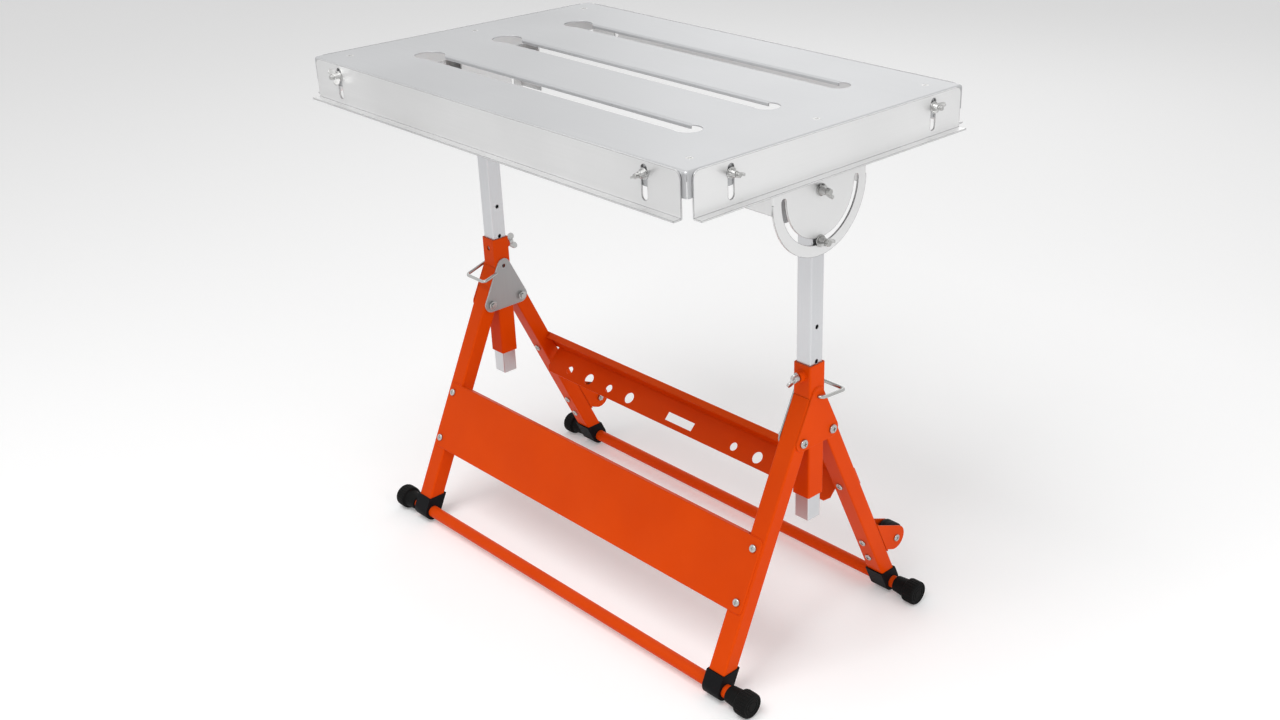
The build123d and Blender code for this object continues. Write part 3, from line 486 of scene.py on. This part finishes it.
def foot_cap(name, body):
    """One rubber tip, built where the frame has it, with ribs pressed round its barrel."""
    low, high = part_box(name)
    side = 1.0 if low[0] > 0 else -1.0
    mouth = low[0] if side > 0 else high[0]
    centre = Vector((mouth, (low[1] + high[1]) / 2, (low[2] + high[2]) / 2))
    bm = bmesh.new()
    turned_profile(bm, cap_outline, centre, (side, 0.0, 0.0), cap_ribs * 4)
    for vert in bm.verts:
        arm = vert.co - centre
        reach = math.hypot(arm.y, arm.z)
        along = side * arm.x
        if reach > cap_rib_reach and cap_rib_start < along < cap_rib_end:
            wave = 0.5 - 0.5 * math.cos(cap_ribs * math.atan2(arm.z, arm.y))
            shrink = 1.0 - cap_rib_depth * wave ** 3 / reach
            vert.co = centre + Vector((arm.x, arm.y * shrink, arm.z * shrink))
    piece = object_from(bm, name + "_rubber", cap_rubber)
    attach(piece, body)
    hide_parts(name)


for cap_name in both("front_foot_cap"):
    foot_cap(cap_name, "front_legs")
for cap_name in both("rear_foot_cap"):
    foot_cap(cap_name, "rear_legs")


# ---------------------------------------------------------------- leg connectors
# Injection-moulded saddles that take the end of a leg and the foot tube. The
# moulding has soft edges all round and a fine spark-eroded skin.

connector_plastic = moulded("connector_plastic", (0.007, 0.007, 0.008), (0.035, 0.035, 0.037),
                            rough=0.50, peel=1100.0, relief=0.12)
connector_edge = 0.0008             # radius of the rounded edges


def soft_edged_copy(name, new_name, material, radius, segments=3):
    """A copy of a piece of the frame with its doubles merged and its sharp edges rounded."""
    bm = bmesh.new()
    bm.from_mesh(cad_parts[name].data)
    bmesh.ops.remove_doubles(bm, verts=bm.verts, dist=1e-6)
    flat = math.radians(2.0)
    bmesh.ops.dissolve_limit(bm, angle_limit=flat, verts=bm.verts, edges=bm.edges)
    corner = math.radians(30.0)
    sharp = [e for e in bm.edges if len(e.link_faces) == 2 and e.calc_face_angle() > corner]
    bmesh.ops.bevel(bm, geom=sharp, offset=radius, segments=segments, profile=0.5, affect="EDGES",
                    material=-1, clamp_overlap=True)
    return object_from(bm, new_name, material)


for connector_name in both("front_connector", "rear_connector"):
    saddle = soft_edged_copy(connector_name, connector_name + "_moulding", connector_plastic, connector_edge)
    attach(saddle, connector_name.split("_")[0] + "_legs")
    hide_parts(connector_name)


# ---------------------------------------------------------------- wheels
# Small solid wheels moulded in hard black plastic: a grooved tread, a dished
# web with ribs, and a hub that runs on the axle bolt.

wheel_plastic = moulded("wheel_plastic", grey(0.009), grey(0.05), rough=0.45, peel=900.0, relief=0.10)
wheel_bore = 0.0031
wheel_hub = 0.0075
wheel_half_tread = 0.011
wheel_web = 0.0060                  # half the web's thickness
wheel_dish = 0.0150                 # outer radius of the dish
wheel_round = 0.0008
wheel_shoulder = 0.0024             # bevel at each side of the tread
wheel_groove_depth = 0.0009
wheel_steps = 72
wheel_web_ribs = 8
wheel_rib_size = (0.0026, 0.0016, 0.0084)
wheel_rib_place = (0.0070, 0.0114)  # out from the middle, out from the axle


def caster_wheel(name, body):
    """One wheel, spun round the frame wheel's own centre, with ribs across the dish."""
    low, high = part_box(name)
    centre = Vector(((low[0] + high[0]) / 2, (low[1] + high[1]) / 2, (low[2] + high[2]) / 2))
    radius = (high[2] - low[2]) / 2
    half_hub = (high[0] - low[0]) / 2
    half = wheel_half_tread
    groove_floor = radius - wheel_groove_depth
    face = [(half_hub, wheel_bore), (half_hub, wheel_hub - 0.0006), (half_hub - 0.0006, wheel_hub),
            (wheel_web, wheel_hub + 0.0003), (wheel_web, wheel_dish),
            (half - wheel_round, wheel_dish + wheel_round), (half, wheel_dish + 0.0018),
            (half, radius - wheel_shoulder), (half - wheel_round, radius - wheel_round),
            (half - wheel_shoulder, radius)]
    groove = [(0.0052, radius), (0.0046, groove_floor), (0.0034, groove_floor), (0.0028, radius)]
    right = face + groove
    left = [(-x, r) for x, r in reversed(right)]
    bm = bmesh.new()
    turned_profile(bm, right + left + [right[0]], centre, (1.0, 0.0, 0.0), wheel_steps)
    rib_out, rib_up = wheel_rib_place
    for side in (-1.0, 1.0):
        for number in range(wheel_web_ribs):
            made = bmesh.ops.create_cube(bm, size=1.0)["verts"]
            bmesh.ops.scale(bm, vec=wheel_rib_size, verts=made)
            bmesh.ops.translate(bm, vec=(side * rib_out, 0.0, rib_up), verts=made)
            turn = Matrix.Rotation(2 * math.pi * number / wheel_web_ribs, 3, "X")
            bmesh.ops.rotate(bm, cent=(0.0, 0.0, 0.0), matrix=turn, verts=made)
            bmesh.ops.translate(bm, vec=centre, verts=made)
    piece = object_from(bm, name + "_moulding", wheel_plastic)
    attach(piece, body)
    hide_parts(name)


for wheel_name in both("wheel"):
    caster_wheel(wheel_name, wheel_name)


# ---------------------------------------------------------------- screw threads
# Rolled threads on the ends of the rail bolts and tilt bolts, where they stand
# out of their wing nuts. Each is one helical ridge wound on the shank.

thread_root = 0.0001                # the ridge's foot lies this far inside the shank
thread_height = 0.34                # of the pitch
thread_half_base = 0.42             # of the pitch


def wind_thread(bm, start, axis, radius, length, pitch, steps=16):
    """A helical ridge of triangular section from start along axis."""
    along = Vector(axis)
    across = along.orthogonal().normalized()
    foot = radius - thread_root
    crest = radius + pitch * thread_height
    half_base = pitch * thread_half_base
    ridge = [(-half_base, foot), (0.0, crest), (half_base, foot)]
    ring = [bm.verts.new(Vector(start) + along * (pitch + x) + across * r) for x, r in ridge]
    section = bm.faces.new(ring)
    turns = int(length / pitch) - 1
    bmesh.ops.spin(bm, geom=[section], cent=start, axis=axis, dvec=along * pitch / steps,
                   angle=2 * math.pi * turns, steps=steps * turns, use_merge=False)


def threads(name, body, bolts, radius, length, pitch):
    """Threads on a set of bolt ends, as one piece."""
    bm = bmesh.new()
    for end, axis in bolts:
        start = Vector(end) - Vector(axis) * length
        wind_thread(bm, start, axis, radius, length, pitch)
    piece = object_from(bm, name, bright_zinc)
    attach(piece, body)


def shells_of(name):
    """The low and the high corner of each loose shell of a piece of the frame."""
    bm = bmesh.new()
    bm.from_mesh(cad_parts[name].data)
    bmesh.ops.remove_doubles(bm, verts=bm.verts, dist=1e-6)
    left = set(bm.verts)
    boxes = []
    while left:
        queue = [left.pop()]
        shell = list(queue)
        while queue:
            for edge in queue.pop().link_edges:
                for vert in edge.verts:
                    if vert in left:
                        left.discard(vert)
                        queue.append(vert)
                        shell.append(vert)
        low = Vector([min(vert.co[i] for vert in shell) for i in range(3)])
        high = Vector([max(vert.co[i] for vert in shell) for i in range(3)])
        boxes.append((low, high))
    bm.free()
    return boxes


def outer_ends(name, half_length, half_width):
    """The outer end of each bolt of a set, and its direction, away from the middle of the top."""
    ends = []
    for low, high in shells_of(name):
        centre = (low + high) / 2
        if abs(centre.x) / half_length > abs(centre.y) / half_width:
            side = math.copysign(1.0, centre.x)
            tip = high.x if side > 0 else low.x
            ends.append(((tip, centre.y, centre.z), (side, 0.0, 0.0)))
        else:
            side = math.copysign(1.0, centre.y)
            tip = high.y if side > 0 else low.y
            ends.append(((centre.x, tip, centre.z), (0.0, side, 0.0)))
    return ends


_, top_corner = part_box("table_top")
rail_bolt_ends = outer_ends("rail_bolts", top_corner[0], top_corner[1])
tilt_bolt_ends = outer_ends("tilt_bolts", top_corner[0], top_corner[1])
threads("rail_bolt_threads", "tabletop", rail_bolt_ends, radius=0.0030, length=0.0058, pitch=0.0010)
threads("tilt_bolt_threads", "posts", tilt_bolt_ends, radius=0.0040, length=0.0055, pitch=0.00125)


# ---------------------------------------------------------------- welds
# Short hand-laid beads, painted over: one along the top arc of each outer
# gusset where it meets its socket, and a ring round each clamp boss.

bead_ripple = 0.00115               # distance between two swells
bead_least = 0.82                   # of a bead's radius, between two swells
bead_swell = 0.18                   # what a swell adds to that
bead_end = 0.35                     # what is left of the radius at a bead's ends
bead_sides = 10


def weld_bead(bm, points, radius):
    """A round bead along a path of points, that swells once every ripple and tapers at its ends."""
    loops = []
    walked = 0.0
    for number, point in enumerate(points):
        before = points[max(number - 1, 0)]
        after = points[min(number + 1, len(points) - 1)]
        walked += (point - before).length
        swell = radius * (bead_least + bead_swell * abs(math.sin(math.pi * walked / bead_ripple)))
        if number in (0, len(points) - 1):
            swell *= bead_end
        made = bmesh.ops.create_circle(bm, cap_ends=False, radius=swell, segments=bead_sides)["verts"]
        facing = (after - before).to_track_quat("Z", "Y").to_matrix()
        bmesh.ops.rotate(bm, cent=(0.0, 0.0, 0.0), matrix=facing, verts=made)
        bmesh.ops.translate(bm, vec=point, verts=made)
        loops.append([e for e in bm.edges if all(v in made for v in e.verts)])
    for first, second in zip(loops, loops[1:]):
        bmesh.ops.bridge_loops(bm, edges=first + second)
    bmesh.ops.holes_fill(bm, edges=loops[0] + loops[-1], sides=bead_sides)


def arc_points(centre, radius, start, stop, count, plane):
    """Points on an arc, in degrees, in the plane "YZ" or "XZ"."""
    points = []
    for number in range(count):
        angle = math.radians(start + (stop - start) * number / (count - 1))
        across = radius * math.cos(angle)
        up = radius * math.sin(angle)
        step = Vector((0.0, across, up)) if plane == "YZ" else Vector((across, 0.0, up))
        points.append(Vector(centre) + step)
    return points


gusset_bead_x = 0.3553              # just off the socket's outer face
gusset_top_radius = 0.0127
gusset_bead = 0.0012
pin_height = 0.4025
boss_x = 0.340
boss_bead_y = 0.0153                # just off the socket's face
boss_height = 0.4325
boss_ring_radius = 0.0076
boss_bead = 0.0010

weld_bm = bmesh.new()
for side in (-1.0, 1.0):
    arc_centre = (side * gusset_bead_x, 0.0, pin_height)
    arc = arc_points(arc_centre, gusset_top_radius, start=38, stop=142, count=44, plane="YZ")
    weld_bead(weld_bm, arc, gusset_bead)
    ring_centre = (side * boss_x, -side * boss_bead_y, boss_height)
    ring = arc_points(ring_centre, boss_ring_radius, start=0, stop=350, count=60, plane="XZ")
    weld_bead(weld_bm, ring, boss_bead)
welds = object_from(weld_bm, "socket_welds", orange_coat)
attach(welds, "hubs")
